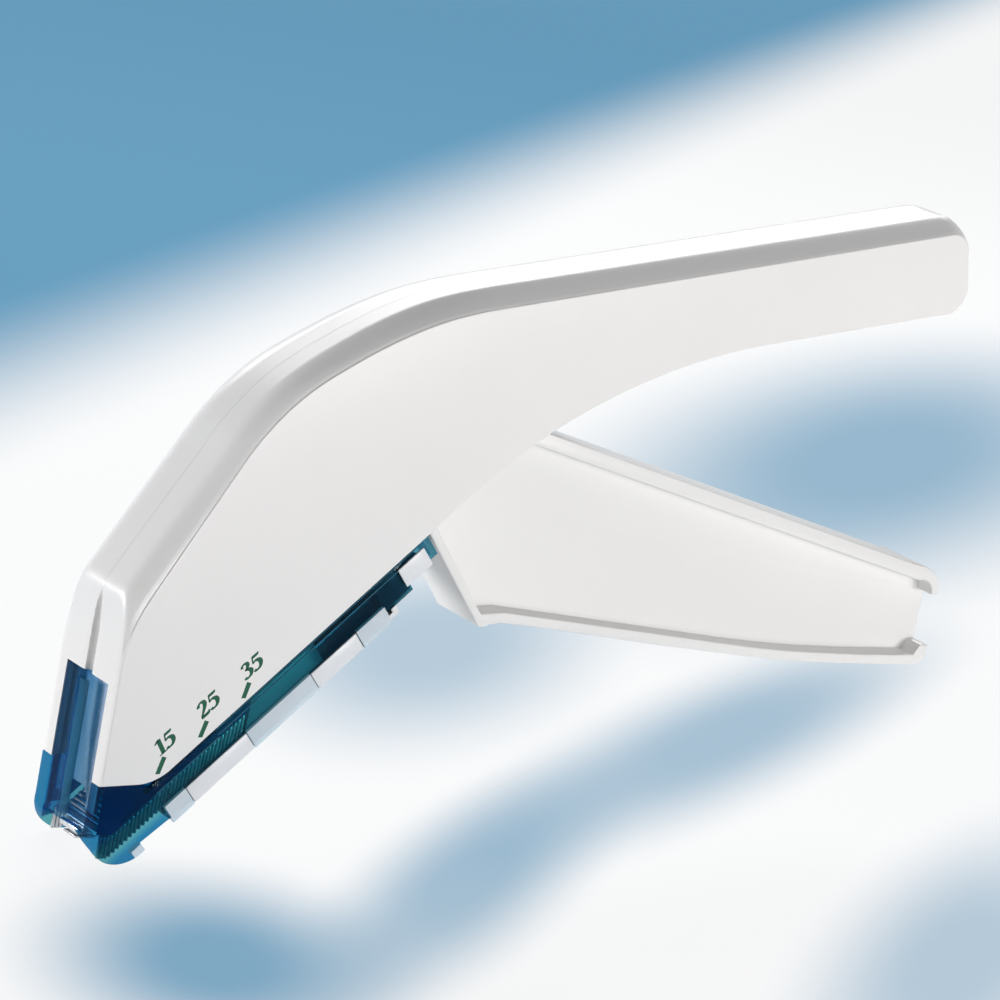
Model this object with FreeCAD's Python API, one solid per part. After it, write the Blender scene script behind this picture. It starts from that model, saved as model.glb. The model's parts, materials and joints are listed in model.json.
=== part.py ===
import FreeCAD, Part
import math
import os

# Skin stapler. Millimetres. X runs back from the nose, Z up along the line in which a staple is
# driven, Y across, with the user's left at -Y. The origin is on the skin, under the nose's front.

V = FreeCAD.Vector

# housing
HALF = 7.5                      # half the width over the two side walls
WALL = 1.8
INNER = HALF - WALL
BEVEL = 3.6
FLAT = HALF - BEVEL             # half the width of the flat on top
ROUND = HALF - 1.5              # where the bevel turns towards the side wall
FRONT_WALL = 1.2
BODY_EDGE = 11.5                # height of the body's lower edge at the nose
SHOULDER_TOP = (57.0, 80.62)    # where the handle's straight top edge starts on the side wall
HANDLE_END = 143.4
HANDLE_TOP = 93.64              # where it ends, above the curve down to the back
PEG_R = 1.25
WINDOW_HALF = HALF - 2.2
WINDOW_TOP = 25.6
WALL_OUT = HALF - 0.4           # outer and inner faces of the magazine's side walls
WALL_IN = WALL_OUT - 0.5

# magazine line: s runs back along it, p square to it, down from the body's edge
MAG_ANGLE = math.radians(42.0)
MAG_ZERO = (15.3, 17.1)
MAG_END = 44.5

# springs
SPRING_X = 6.6
SPRING_LOW = 16.5
SPRING_TOP = 29.0

# lever and driver: the pivot lies one arm behind the drive pin
DRIVE = (8.15, 39.284)
DRIVE_R = 1.25
ARM = 17.5
ARM_TILT = math.radians(7.5)
PIVOT = (DRIVE[0] + ARM * math.cos(ARM_TILT), DRIVE[1] - ARM * math.sin(ARM_TILT))
PIVOT_R = 1.5
LEVER_HALF = INNER - 0.7
CARRIER_HALF = INNER - 0.3
CARRIER_BACK = DRIVE[0] + 3.05
FINGER_HALF = 2.4
WEB_HALF = 1.5
BLADE_X = 1.45
BLADE_T = 0.6
BLADE_HALF = WINDOW_HALF - 0.3
BLADE_LOW = 6.7
BLADE_HIGH = SPRING_TOP + 4.5

# staples
STAPLES = 35
WIRE = 0.57
PITCH = 0.6
FIRST_X = 2.65
CROWN_HALF = WALL_IN - 0.4      # half the outer width of the open staple
LEG = 3.6
CROWN_DROP = 3.1                # crown below the body's edge line
CROWN_LOW = 4.0                 # crown of the staples that lie over the anvil
RAIL_TOP = 2.85                 # rail's face below the body's edge line
RAIL_HALF = CROWN_HALF - WIRE - 0.33
CHANNEL = 2.1                   # half the inner width of the rail's channel
SHEET = 0.4
ANVIL_HALF = 2.4
ANVIL_TOP = CROWN_LOW - WIRE - 0.05


def handle(x):
    """Height of the handle's top edge on the side wall."""
    run = HANDLE_END - 5.4 - SHOULDER_TOP[0]
    return SHOULDER_TOP[1] + (HANDLE_TOP - SHOULDER_TOP[1]) / run * (x - SHOULDER_TOP[0])


PEGS = [(16.5, 52.0), (31.0, 66.5), (64.0, handle(64.0) - 4.15), (101.0, handle(101.0) - 6.69),
        (HANDLE_END - 6.4, HANDLE_TOP - 6.64)]


def pt(p, y=0.0):
    return V(p[0], y, p[1])


def path(start, steps, y=0.0):
    """Edges in the side view: one pair goes straight, two make an arc, more a smooth curve."""
    edges = []
    here = pt(start, y)
    for step in steps:
        points = [pt(p, y) for p in step]
        if len(points) == 1:
            edges.append(Part.makeLine(here, points[0]))
        elif len(points) == 2:
            edges.append(Part.Arc(here, points[0], points[1]).toShape())
        else:
            curve = Part.BSplineCurve()
            curve.interpolate([here] + points)
            edges.append(curve.toShape())
        here = points[-1]
    return edges


def slab(start, steps, y0, y1):
    face = Part.Face(Part.Wire(path(start, steps, y0)))
    return face.extrude(V(0, y1 - y0, 0))


def plate(points, y0, y1):
    return slab(points[0], [[p] for p in points[1:]] + [[points[0]]], y0, y1)


def box(x0, x1, y0, y1, z0, z1):
    return Part.makeBox(x1 - x0, y1 - y0, z1 - z0, V(x0, y0, z0))


def rod_y(centre, radius, y0, y1):
    return Part.makeCylinder(radius, y1 - y0, V(centre[0], y0, centre[1]), V(0, 1, 0))


def mag(s, p):
    """Side-view point at s along the magazine and p below the body's edge line."""
    c = math.cos(MAG_ANGLE)
    n = math.sin(MAG_ANGLE)
    return (MAG_ZERO[0] + s * c + p * n, MAG_ZERO[1] + s * n - p * c)


MAG_DIR = V(math.cos(MAG_ANGLE), 0, math.sin(MAG_ANGLE))


def along(section, s0, s1):
    """Extrudes a section given as (y, p) pairs from s0 to s1 along the magazine."""
    points = [pt(mag(s0, p), y) for y, p in section]
    face = Part.Face(Part.makePolygon(points + [points[0]]))
    return face.extrude(MAG_DIR * (s1 - s0))


def bar(y0, y1, p0, p1, s0, s1):
    return along([(y0, p0), (y1, p0), (y1, p1), (y0, p1)], s0, s1)


def both(make):
    """The same piece on the near and the far side."""
    near = make()
    return near.fuse(near.mirror(V(0, 0, 0), V(0, 1, 0)))


def mirrored(shape):
    return shape.mirror(V(0, 0, 0), V(0, 1, 0))


def join(shapes):
    whole = shapes[0]
    if len(shapes) > 1:
        whole = whole.fuse(shapes[1:])
    return whole.removeSplitter()


def coil(base, axis, length, turns, radius, wire, end_turns=1.0):
    """Round-wire spring whose outer ends lie just inside its length."""
    helix = Part.makeHelix((length - wire) / turns, length - wire, radius)
    start = helix.Edges[0].valueAt(helix.Edges[0].FirstParameter)
    ring = Part.Wire(Part.makeCircle(wire / 2, start, V(0, 1, 0)))
    body = Part.Wire(helix.Edges).makePipeShell([ring], True, True)
    body.translate(V(0, 0, wire / 2))
    turn = FreeCAD.Rotation(V(0, 0, 1), axis)
    body.Placement = FreeCAD.Placement(base, turn).multiply(body.Placement)
    return body


# skin of the housing: the flat side's outline, pushed out by share of the bevel's depth
SHOULDER = [
    ((44.1, 77.9), (-0.30, 0.954), 2.1, 0.1),
    ((30.7, 72.0), (-0.47, 0.883), 2.0, 0.4),
    ((22.1, 66.4), (-0.648, 0.762), 2.0, 0.7),
    ((16.4, 60.2), (-0.82, 0.572), 2.0, 0.9),
    ((13.4, 55.4), (-0.862, 0.507), 2.0, 1.0),
]
BROW = (3.6, 38.74)


def lifted(point, normal, depth, share):
    return (point[0] + normal[0] * depth * share, point[1] + normal[1] * depth * share)


def shoulder(on_top, on_nose):
    return [lifted(p, n, d, on_top + (on_nose - on_top) * w) for p, n, d, w in SHOULDER]


def skin(on_top, on_nose, rear, y):
    out = 1.5 * on_nose
    steps = [
        [(6.0, BODY_EDGE)],
        [(8.87, 12.03), (11.35, 13.54)],
        [(48.5, 47.0)],
        [(58.6, 56.0), (68.0, 62.6)],
        [(85.3, handle(85.3) - 14.47), (104.0, handle(104.0) - 12.57)],
        [(HANDLE_END - 3.6, HANDLE_TOP - 12.54)],
        [(HANDLE_END - 1.2 + 0.8 * rear, HANDLE_TOP - 11.44), (HANDLE_END + rear, HANDLE_TOP - 8.64)],
        [(HANDLE_END - 1.4 + rear, HANDLE_TOP - 3.34 + on_top)],
        [(HANDLE_END - 2.5 + 0.8 * rear, HANDLE_TOP - 0.94 + 1.6 * on_top),
         (HANDLE_END - 5.4, HANDLE_TOP + 1.86 * on_top)],
        [(SHOULDER_TOP[0], SHOULDER_TOP[1] + 2.18 * on_top)],
        shoulder(on_top, on_nose),
        [lifted(BROW, (-0.862, 0.507), 2.9, on_nose)],
        [(1.15 - 2.6 * on_nose, 33.3 + 1.2 * on_nose), (-out, 27.5)],
        [(-out, BODY_EDGE)],
    ]
    return Part.Wire(path((-out, BODY_EDGE), steps, y))


def housing_half():
    """The left half: everything from the middle plane out to the near side wall."""
    middle = Part.Face(skin(1.0, 1.0, 1.2, 0.0)).extrude(V(0, -FLAT, 0))
    bevel = Part.makeLoft([skin(1.0, 1.0, 1.2, -FLAT), skin(0.42, 0.78, 0.8, -ROUND)], True, True)
    edge = Part.makeLoft([skin(0.42, 0.78, 0.8, -ROUND), skin(0.0, 0.0, 0.0, -HALF)], True, True)
    half = middle.fuse([bevel, edge])
    half = half.cut(box(-5, 0, -10, 1, 0, 60))
    inside = shoulder(-0.15, -0.15)
    inside.reverse()
    hollow = [
        [(FRONT_WALL, 33.9)],
        [inside[0]],
        inside[1:] + [(SHOULDER_TOP[0], SHOULDER_TOP[1] - 0.32)],
        [(HANDLE_END - 5.6, handle(HANDLE_END - 5.6) - 0.36)],
        [(HANDLE_END - 2.5, HANDLE_TOP - 2.24)],
        [(HANDLE_END - 1.3, HANDLE_TOP - 8.04)],
        [(HANDLE_END - 3.5, HANDLE_TOP - 10.64)],
        [(104.3, handle(104.3) - 10.72)],
        [(96.5, handle(96.5) - 10.97)],
        [(96.5, 55.0)],
        [(60.0, 0.0)],
        [(FRONT_WALL, 0.0)],
    ]
    half = half.cut(slab((FRONT_WALL, 0.0), hollow, -INNER, 0.5))
    half = half.cut(box(-1, FRONT_WALL + 0.1, -WINDOW_HALF, 0.5, 0, WINDOW_TOP))
    groove = box(-1, 0.75, -0.95, 0.5, WINDOW_TOP - 1, 35.4)
    tip = rod_y((0.0, 35.4), 0.75, -0.95, 0.5)
    half = half.cut(groove.fuse(tip))
    shelf = box(2.5, CARRIER_BACK + 1.2, -INNER - 0.1, 0, SPRING_LOW - 1.9, SPRING_LOW)
    post = Part.makeCylinder(1.8, 3.0, V(SPRING_X, 0, SPRING_LOW), V(0, 0, 1))
    post = post.common(box(0, 20, -3, 0, 0, 60))
    guide = box(CARRIER_BACK + 0.3, CARRIER_BACK + 1.2, -INNER - 0.1, -INNER + 0.5, SPRING_LOW, 43.0)
    boss = rod_y(PIVOT, 3.4, -INNER - 0.1, -LEVER_HALF - 0.15)
    half = half.fuse([shelf, post, guide, boss] + [rod_y(p, 2.6, -INNER - 0.1, 0) for p in PEGS])
    half = half.cut(rod_y(PIVOT, PIVOT_R + 0.02, -HALF + 0.9, 0))
    return half


def left_housing():
    pegs = [rod_y(p, PEG_R, -1.0, 3.0) for p in PEGS]
    return housing_half().fuse(pegs).removeSplitter()


def right_housing():
    sockets = [rod_y(p, PEG_R + 0.02, -0.1, 3.2) for p in PEGS]
    half = mirrored(housing_half())
    for socket in sockets:
        half = half.cut(socket)
    return half.removeSplitter()


# lever
LEVER_END = 154.4
TOP_SLOPE = -0.267
FRONT_SLOPE = -1.18


def lever_top(x):
    return 55.6 + TOP_SLOPE * (x - 90.0)


def lever_front(x):
    return 43.3 + FRONT_SLOPE * (x - 53.1)


def under(share, z):
    """A point of the lever's lower edge, share of the way from its front foot to its end."""
    foot = 66.6
    return (foot + share * (LEVER_END - foot), z)


def squeeze_lever():
    tip = 2.4
    end_top = lever_top(LEVER_END)
    outline = [
        [(PIVOT[0] + 3.7, PIVOT[1] - 3.1)],
        [(PIVOT[0] - 3.5, PIVOT[1] - 3.6)],
        [(DRIVE[0], DRIVE[1] - tip)],
        [(DRIVE[0] - tip, DRIVE[1]), (DRIVE[0], DRIVE[1] + tip)],
        [(PIVOT[0] - 3.0, PIVOT[1] + 4.4)],
        [(PIVOT[0] + 3.5, PIVOT[1] + 7.5)],
        [(50.5, 62.6)],
        [(54.3, 64.35), (58.5, lever_top(58.5))],
        [(LEVER_END - 5.8, lever_top(LEVER_END - 5.8))],
        [(LEVER_END - 1.5, end_top - 0.405), (LEVER_END, end_top - 4.005)],
        [(LEVER_END - 0.1, 25.6)],
        [(LEVER_END - 0.8, 24.0), (LEVER_END - 2.6, 23.35)],
        [under(0.8132, 24.0), under(0.6105, 25.4), under(0.4533, 27.1), under(0.3121, 28.75),
         under(0.1298, 31.1), under(0.0, 32.5)],
        [(64.4, 32.3)],
        [(63.0, 32.0), (61.9, lever_front(61.9))],
        [(47.3, lever_front(47.3))],
    ]
    start = (47.3, lever_front(47.3))
    body = slab(start, outline, -LEVER_HALF, LEVER_HALF)
    pocket = [
        [(LEVER_END - 5.0, lever_top(LEVER_END - 5.0) - 2.3)],
        [(LEVER_END - 2.4, end_top - 1.805), (LEVER_END - 1.8, end_top - 3.405)],
        [(LEVER_END + 3.6, end_top - 3.405)],
        [(LEVER_END + 3.6, 26.7)],
        [(LEVER_END - 1.8, 26.7)],
        [(LEVER_END - 2.8, 25.05)],
        [under(0.8132, 25.6), under(0.6105, 27.0), under(0.4533, 28.7), under(0.3121, 30.35),
         under(0.1298, 32.7), under(0.0046, 34.15)],
        [(62.7, lever_front(62.7) + 2.0)],
        [(47.3, 52.3)],
        [(34.5, 40.8)],
        [(34.5, 46.2)],
        [(51.5, 60.5)],
        [(57.5, lever_top(57.5) - 2.3)],
    ]
    first = (57.5, lever_top(57.5) - 2.3)
    finger_end = CARRIER_BACK + 1.3
    for side in (-1, 1):
        body = body.cut(slab(first, pocket, side * WEB_HALF, side * 9.0))
    body = body.cut(both(lambda: box(0, finger_end, -9.0, -FINGER_HALF, 30, 50)))
    body = body.cut(rod_y(PIVOT, PIVOT_R + 0.06, -9, 9))
    slot_x = 0.35
    slot = rod_y((DRIVE[0] - slot_x, DRIVE[1]), DRIVE_R + 0.08, -9, 9)
    slot = slot.fuse(rod_y((DRIVE[0] + slot_x, DRIVE[1]), DRIVE_R + 0.08, -9, 9))
    slot = slot.fuse(box(DRIVE[0] - slot_x, DRIVE[0] + slot_x, -9, 9, DRIVE[1] - DRIVE_R - 0.08,
                         DRIVE[1] + DRIVE_R + 0.08))
    return body.cut(slot).removeSplitter()


def lever_pivot_pin():
    return rod_y(PIVOT, PIVOT_R, 1.0 - HALF, HALF - 1.0)


def drive_pin():
    return rod_y(DRIVE, DRIVE_R, 0.1 - CARRIER_HALF, CARRIER_HALF - 0.1)


def driver_carrier():
    back = BLADE_X + BLADE_T
    top = DRIVE[1] + 3.0
    profile = [(back, SPRING_TOP), (CARRIER_BACK, SPRING_TOP), (CARRIER_BACK, top), (DRIVE[0] - 1.45, top),
               (back, DRIVE[1] - 4.9)]
    body = plate(profile, -CARRIER_HALF, CARRIER_HALF)
    throat = FINGER_HALF + 0.3
    body = body.cut(box(DRIVE[0] - 2.95, CARRIER_BACK + 1, -throat, throat, DRIVE[1] - 6.8, top + 1))
    body = body.cut(rod_y(DRIVE, DRIVE_R + 0.01, -9, 9))
    return body.removeSplitter()


def driver_blade():
    notch = ANVIL_HALF + 0.35
    half = [(1.6, BLADE_LOW + 2.8), (notch, BLADE_LOW + 1.6), (notch, BLADE_LOW), (BLADE_HALF, BLADE_LOW),
            (BLADE_HALF, BLADE_HIGH)]
    profile = [(-y, z) for y, z in reversed(half)] + half
    points = [V(BLADE_X, y, z) for y, z in profile]
    face = Part.Face(Part.makePolygon(points + [points[0]]))
    return face.extrude(V(BLADE_T, 0, 0))


def return_spring():
    return coil(V(SPRING_X, 0, SPRING_LOW), V(0, 0, 1), SPRING_TOP - SPRING_LOW, 6, 2.8, 0.8)


# magazine
FLOOR = (6.7, 7.45)
ROOF = (0.1, 0.9)
WALL_LOW = 4.35
TABS = [(-9.0, -5.0), (6.7, 19.0), (28.0, 33.5)]
WINDOWS = [(-4.9, 6.6), (19.1, 27.9)]
LEG_TIPS = (CROWN_DROP + LEG) * math.cos(MAG_ANGLE)
RAIL_START = -15.0
RAIL_END = 33.4
BASE_END = RAIL_END + 2.0
PLUG = (33.6, 38.6)


def magazine_body():
    def nose_plate():
        outline = [
            [(0.0, 5.2)],
            [(0.9, 1.8), (3.6, 0.1)],
            [(6.4, 0.15), (9.3, 1.9)],
            [(8.2, 3.0)],
            [mag(-9.0, 6.15)],
            [mag(-9.0, 0.1)],
            [(6.0, BODY_EDGE - 0.05)],
            [(0.0, BODY_EDGE - 0.05)],
        ]
        return slab((0.0, BODY_EDGE - 0.05), outline, -HALF, -WALL_IN)

    def corner():
        post = box(0, 1.3, -HALF, -WINDOW_HALF, 3.75, BODY_EDGE - 0.05)
        points = [V(0, y, z) for y, z in [(-3.2, 3.75), (0.6 - HALF, 1.7), (-HALF, 1.9), (-HALF, 3.75)]]
        toe = Part.Face(Part.makePolygon(points + [points[0]])).extrude(V(1.0, 0, 0))
        foot = slab((0.0, 5.2), [[(0.9, 1.8), (3.6, 0.1)], [(3.6, 5.2)], [(0.0, 5.2)]], -HALF, 0)
        return post.fuse(toe.common(foot))

    def wall():
        side = bar(-WALL_OUT, -WALL_IN, ROOF[0], WALL_LOW, -10.0, 38.7)
        tail = bar(-WALL_OUT, -WALL_IN, ROOF[0], 3.7, 38.7, MAG_END)
        tabs = [bar(-WALL_OUT, -WALL_IN, WALL_LOW, 7.5, a, b) for a, b in TABS]
        tabs.append(bar(-WALL_OUT, -WALL_IN, WALL_LOW, 5.5, RAIL_END, PLUG[1]))
        rib = bar(0.2 - INNER, 1.0 - INNER, -1.6, ROOF[0], 3.0, 42.0)
        return side.fuse([tail, rib] + tabs)

    roof = bar(-WALL_OUT, WALL_OUT, ROOF[0], ROOF[1], -10.0, MAG_END)
    end = bar(-WALL_OUT, WALL_OUT, ROOF[0], 3.7, MAG_END - 0.8, MAG_END)
    near = nose_plate().fuse([corner(), wall()])
    return join([near, mirrored(near), roof, end])


def nose_cover():
    side = WINDOW_HALF - 0.1
    panel = box(0.1, 1.0, -side, side, 3.8, WINDOW_TOP - 0.1)
    rib = box(-0.1, 0.1, -1.1, 1.1, 5.2, 24.7)
    crest = Part.makeCylinder(1.1, 19.5, V(-0.1, 0, 5.2), V(0, 0, 1))
    crest = crest.common(box(-3, 0.2, -3, 3, 0, 60))
    return join([panel, rib, crest])


def magazine_base():
    wide = WALL_IN - 0.1
    inner = CHANNEL + SHEET + 0.2
    floor = bar(-wide, wide, FLOOR[0], FLOOR[1], TABS[0][0], BASE_END)
    rib = bar(0.1 - RAIL_HALF, -inner, RAIL_TOP + SHEET, FLOOR[0], TABS[0][0], RAIL_END)
    lips = [bar(-WALL_OUT, -wide, WALL_LOW + 0.1, FLOOR[1], a, b) for a, b in WINDOWS]
    wall = bar(-wide, 0.6 - wide, LEG_TIPS + 0.2, FLOOR[0], TABS[0][0], RAIL_END)
    hook = bar(-wide, wide, FLOOR[0] - 0.7, FLOOR[0], BASE_END - 1.0, BASE_END)
    sides = [rib, wall] + lips
    return join([floor] + sides + [mirrored(piece) for piece in sides] + [hook])


def staple_rail():
    low = RAIL_TOP + SHEET
    bed = FLOOR[0] - 0.1
    out = CHANNEL + SHEET
    half = [(RAIL_HALF, RAIL_TOP), (RAIL_HALF, low), (out, low), (out, bed)]
    inside = [(-CHANNEL, RAIL_TOP), (-CHANNEL, bed - SHEET), (CHANNEL, bed - SHEET), (CHANNEL, RAIL_TOP)]
    section = inside + half + [(-y, p) for y, p in reversed(half)]
    return along(section, RAIL_START, RAIL_END)


def anvil():
    ramp = (ANVIL_TOP - mag(0, RAIL_TOP)[1]) / math.sin(MAG_ANGLE)
    low = ANVIL_TOP - 0.78
    bed = FLOOR[0] - 0.1 - SHEET
    wide = CHANNEL - 0.2
    head = plate([(1.2, low), (4.7, low), mag(RAIL_START, RAIL_TOP + 0.8), mag(RAIL_START, RAIL_TOP),
                  mag(ramp, RAIL_TOP), (1.2, ANVIL_TOP)], -ANVIL_HALF, ANVIL_HALF)
    neck = bar(-wide, wide, RAIL_TOP, bed, RAIL_START - 0.9, RAIL_START)
    tongue = bar(-wide, wide, bed - 1.0, bed, RAIL_START, RAIL_START + 5.5)
    return join([head, neck, tongue])


def ejector_spring():
    low = ANVIL_TOP - 0.78
    leaf = [(1.5, low - 0.85), (4.6, low - 1.1), (5.2, low - 0.85), (5.2, low)]
    back = [(4.9, low), (4.9, low - 0.65), (4.55, low - 0.8), (1.5, low - 0.55)]
    return plate(leaf + back, -1.5, 1.5)


def crown_height(x):
    on_line = MAG_ZERO[1] + math.tan(MAG_ANGLE) * (x - MAG_ZERO[0]) - CROWN_DROP
    return max(on_line, CROWN_LOW)


def staple(x):
    r = WIRE / 2
    bend = 0.55
    top = crown_height(x) - r
    side = CROWN_HALF - r
    low = top + r - LEG
    k = bend * math.sqrt(0.5)
    points = [V(x, -side, low), V(x, -side, top - bend), V(x, -side + bend, top), V(x, side - bend, top),
              V(x, side, top - bend), V(x, side, low)]
    edges = [
        Part.makeLine(points[0], points[1]),
        Part.Arc(points[1], V(x, -side + bend - k, top - bend + k), points[2]).toShape(),
        Part.makeLine(points[2], points[3]),
        Part.Arc(points[3], V(x, side - bend + k, top - bend + k), points[4]).toShape(),
        Part.makeLine(points[4], points[5]),
    ]
    ring = Part.Wire(Part.makeCircle(r, points[0], V(0, 0, 1)))
    return Part.Wire(edges).makePipeShell([ring], True, True)


def staples():
    return Part.makeCompound([staple(FIRST_X + PITCH * i) for i in range(STAPLES)])


PUSHER_X = FIRST_X + PITCH * (STAPLES - 1) + WIRE / 2 + 0.15
PUSHER_END = 22.0
ROD_P = 4.4
ROD_R = 0.6


def front_s(p):
    """Where the upright front face of the pusher meets depth p."""
    return (PUSHER_X - MAG_ZERO[0] - p * math.sin(MAG_ANGLE)) / math.cos(MAG_ANGLE)


def pusher():
    def block(p0, p1, y0, y1):
        return plate([mag(front_s(p0), p0), mag(front_s(p1), p1), mag(PUSHER_END, p1), mag(PUSHER_END, p0)],
                     y0, y1)

    wide = WALL_IN - 0.2
    low = RAIL_TOP - 0.15
    roof = block(1.15, low, -wide, wide)
    skirt = block(low, 4.9, -wide, -RAIL_HALF - 0.2)
    keel = bar(0.5 - CHANNEL, CHANNEL - 0.5, low, 5.9, 12.0, PUSHER_END)
    whole = join([roof, skirt, mirrored(skirt), keel])
    return whole.cut(Part.makeCylinder(ROD_R + 0.08, 30, pt(mag(5.0, ROD_P)), MAG_DIR))


def pusher_spring():
    return coil(pt(mag(PUSHER_END, ROD_P)), MAG_DIR, PLUG[0] - PUSHER_END, 12, 1.3, 0.36)


def pusher_guide_rod():
    return Part.makeCylinder(ROD_R, 45.0, pt(mag(-7.0, ROD_P)), MAG_DIR)


def magazine_end_plug():
    wide = WALL_IN - 0.1
    body = bar(-wide, wide, ROOF[1] + 0.1, 5.6, PLUG[0], PLUG[1])
    sole = bar(-wide, wide, 5.6, 6.1, BASE_END + 0.1, PLUG[1])
    body = join([body, sole])
    return body.cut(Part.makeCylinder(ROD_R + 0.01, 4.4, pt(mag(PLUG[0], ROD_P)), MAG_DIR))


def magazine_tail_clip():
    out = HALF - 0.05
    arm = bar(-out, -WALL_OUT - 0.02, 1.0, 4.3, 37.9, 43.0)
    cross = bar(-out, out, 3.75, 4.3, 38.8, 43.0)
    return join([arm, mirrored(arm), cross])


NODES = {
    "left_housing": left_housing,
    "right_housing": right_housing,
    "squeeze_lever": squeeze_lever,
    "lever_pivot_pin": lever_pivot_pin,
    "drive_pin": drive_pin,
    "driver_carrier": driver_carrier,
    "driver_blade": driver_blade,
    "return_spring": return_spring,
    "magazine_body": magazine_body,
    "nose_cover": nose_cover,
    "magazine_base": magazine_base,
    "staple_rail": staple_rail,
    "anvil": anvil,
    "ejector_spring": ejector_spring,
    "staples": staples,
    "pusher": pusher,
    "pusher_spring": pusher_spring,
    "pusher_guide_rod": pusher_guide_rod,
    "magazine_end_plug": magazine_end_plug,
    "magazine_tail_clip": magazine_tail_clip,
}

os.makedirs("parts", exist_ok=True)
for name, make in NODES.items():
    shape = make()
    solids = len(shape.Solids)
    size = shape.BoundBox
    print(name, "solids", solids, "valid", shape.isValid(), "x %.1f %.1f y %.1f %.1f z %.1f %.1f" % (
        size.XMin, size.XMax, size.YMin, size.YMax, size.ZMin, size.ZMax))
    shape.exportStep("parts/" + name + ".step")
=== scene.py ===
import json
import math
import bmesh
import bpy
from mathutils import Matrix, Vector


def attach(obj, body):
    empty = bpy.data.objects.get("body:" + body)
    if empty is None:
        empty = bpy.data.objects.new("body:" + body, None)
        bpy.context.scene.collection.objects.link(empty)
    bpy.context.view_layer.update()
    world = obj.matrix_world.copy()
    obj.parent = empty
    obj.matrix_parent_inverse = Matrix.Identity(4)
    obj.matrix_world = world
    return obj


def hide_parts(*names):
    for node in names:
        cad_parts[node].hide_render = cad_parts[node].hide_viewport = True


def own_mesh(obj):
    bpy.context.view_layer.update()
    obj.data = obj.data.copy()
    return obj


# Millimetres are used below as in the CAD source, and turned into metres when a mesh is made.

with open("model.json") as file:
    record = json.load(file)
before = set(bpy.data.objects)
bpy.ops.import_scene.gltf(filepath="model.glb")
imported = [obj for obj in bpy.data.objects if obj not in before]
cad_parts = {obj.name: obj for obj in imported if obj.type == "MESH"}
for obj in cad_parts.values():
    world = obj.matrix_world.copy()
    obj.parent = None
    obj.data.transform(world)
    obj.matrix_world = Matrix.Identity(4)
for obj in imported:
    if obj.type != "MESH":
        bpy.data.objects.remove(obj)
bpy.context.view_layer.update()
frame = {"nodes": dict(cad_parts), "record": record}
NODES = frame["nodes"]
BODY = {n: b for b, names in frame["record"]["behaviour"]["bodies"].items() for n in names}

MM = 0.001                      # a millimetre in metres
HALF = 7.5                      # half the width of the stapler
WALL = 1.8                      # housing's side wall
INNER = HALF - WALL
FLAT = 3.3                      # half the width of the flat band on top
WINDOW_HALF = 5.3
WINDOW_TOP = 25.6
BODY_EDGE = 11.5                # height of the body's lower edge at the nose
MAG_WALL_OUT = HALF - 0.4       # outer and inner faces of the magazine's side walls
MAG_WALL_IN = MAG_WALL_OUT - 0.5
PEGS = [(16.5, 52.0), (31.0, 66.5), (64.0, 77.6), (101.0, 81.0), (137.0, 87.0)]
PIVOT = (25.5, 37.0)
MAG_ANGLE = math.radians(42.0)
MAG_ZERO = (15.3, 17.1)


def mag(s, p):
    """Side-view point at s along the magazine and p below the body's edge line."""
    c = math.cos(MAG_ANGLE)
    n = math.sin(MAG_ANGLE)
    return (MAG_ZERO[0] + s * c + p * n, MAG_ZERO[1] + s * n - p * c)


ALONG = (math.cos(MAG_ANGLE), 0.0, math.sin(MAG_ANGLE))
BELOW = (math.sin(MAG_ANGLE), 0.0, -math.cos(MAG_ANGLE))
ACROSS = (0.0, 1.0, 0.0)


def face_place(face):
    """Millimetres of a mesh face along the magazine, below the edge line and from the middle plane."""
    x, y, z = face.center / MM
    dx = x - MAG_ZERO[0]
    dz = z - MAG_ZERO[1]
    return dx * ALONG[0] + dz * ALONG[2], dx * BELOW[0] + dz * BELOW[2], abs(y)


# materials

def new_material(name):
    """A material with its nodes, links and Principled shader."""
    mat = bpy.data.materials.new(name)
    mat.use_nodes = True
    nodes = mat.node_tree.nodes
    shader = nodes["Principled BSDF"]
    return mat, nodes, mat.node_tree.links, shader


def noise(nodes, links, scale, detail=3.0, rough=0.5, stretch=(1, 1, 1)):
    """Noise in the object's own coordinates."""
    coord = nodes.new("ShaderNodeTexCoord")
    mapping = nodes.new("ShaderNodeMapping")
    mapping.inputs["Scale"].default_value = stretch
    tex = nodes.new("ShaderNodeTexNoise")
    tex.inputs["Scale"].default_value = scale
    tex.inputs["Detail"].default_value = detail
    tex.inputs["Roughness"].default_value = rough
    links.new(coord.outputs["Object"], mapping.inputs["Vector"])
    links.new(mapping.outputs["Vector"], tex.inputs["Vector"])
    return tex


def ramp(nodes, links, source, stops):
    """Colour ramp over a value, from (place, colour) stops."""
    node = nodes.new("ShaderNodeValToRGB")
    node.color_ramp.elements[0].position = stops[0][0]
    node.color_ramp.elements[0].color = stops[0][1]
    node.color_ramp.elements[1].position = stops[1][0]
    node.color_ramp.elements[1].color = stops[1][1]
    for place, color in stops[2:]:
        element = node.color_ramp.elements.new(place)
        element.color = color
    links.new(source, node.inputs["Fac"])
    return node


def grey(v):
    return (v, v, v, 1.0)


def opaque(color):
    """A colour with full alpha."""
    return tuple(color) + (1.0,)


def mixed(nodes, links, factor, a, b, blend="MIX"):
    """Mix of two colours. Factor, a and b are values or sockets."""
    node = nodes.new("ShaderNodeMix")
    node.data_type = "RGBA"
    node.blend_type = blend
    for name, value in (("Factor", factor), ("A", a), ("B", b)):
        if isinstance(value, bpy.types.NodeSocket):
            links.new(value, node.inputs[name])
        else:
            node.inputs[name].default_value = value
    return node.outputs["Result"]


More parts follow.
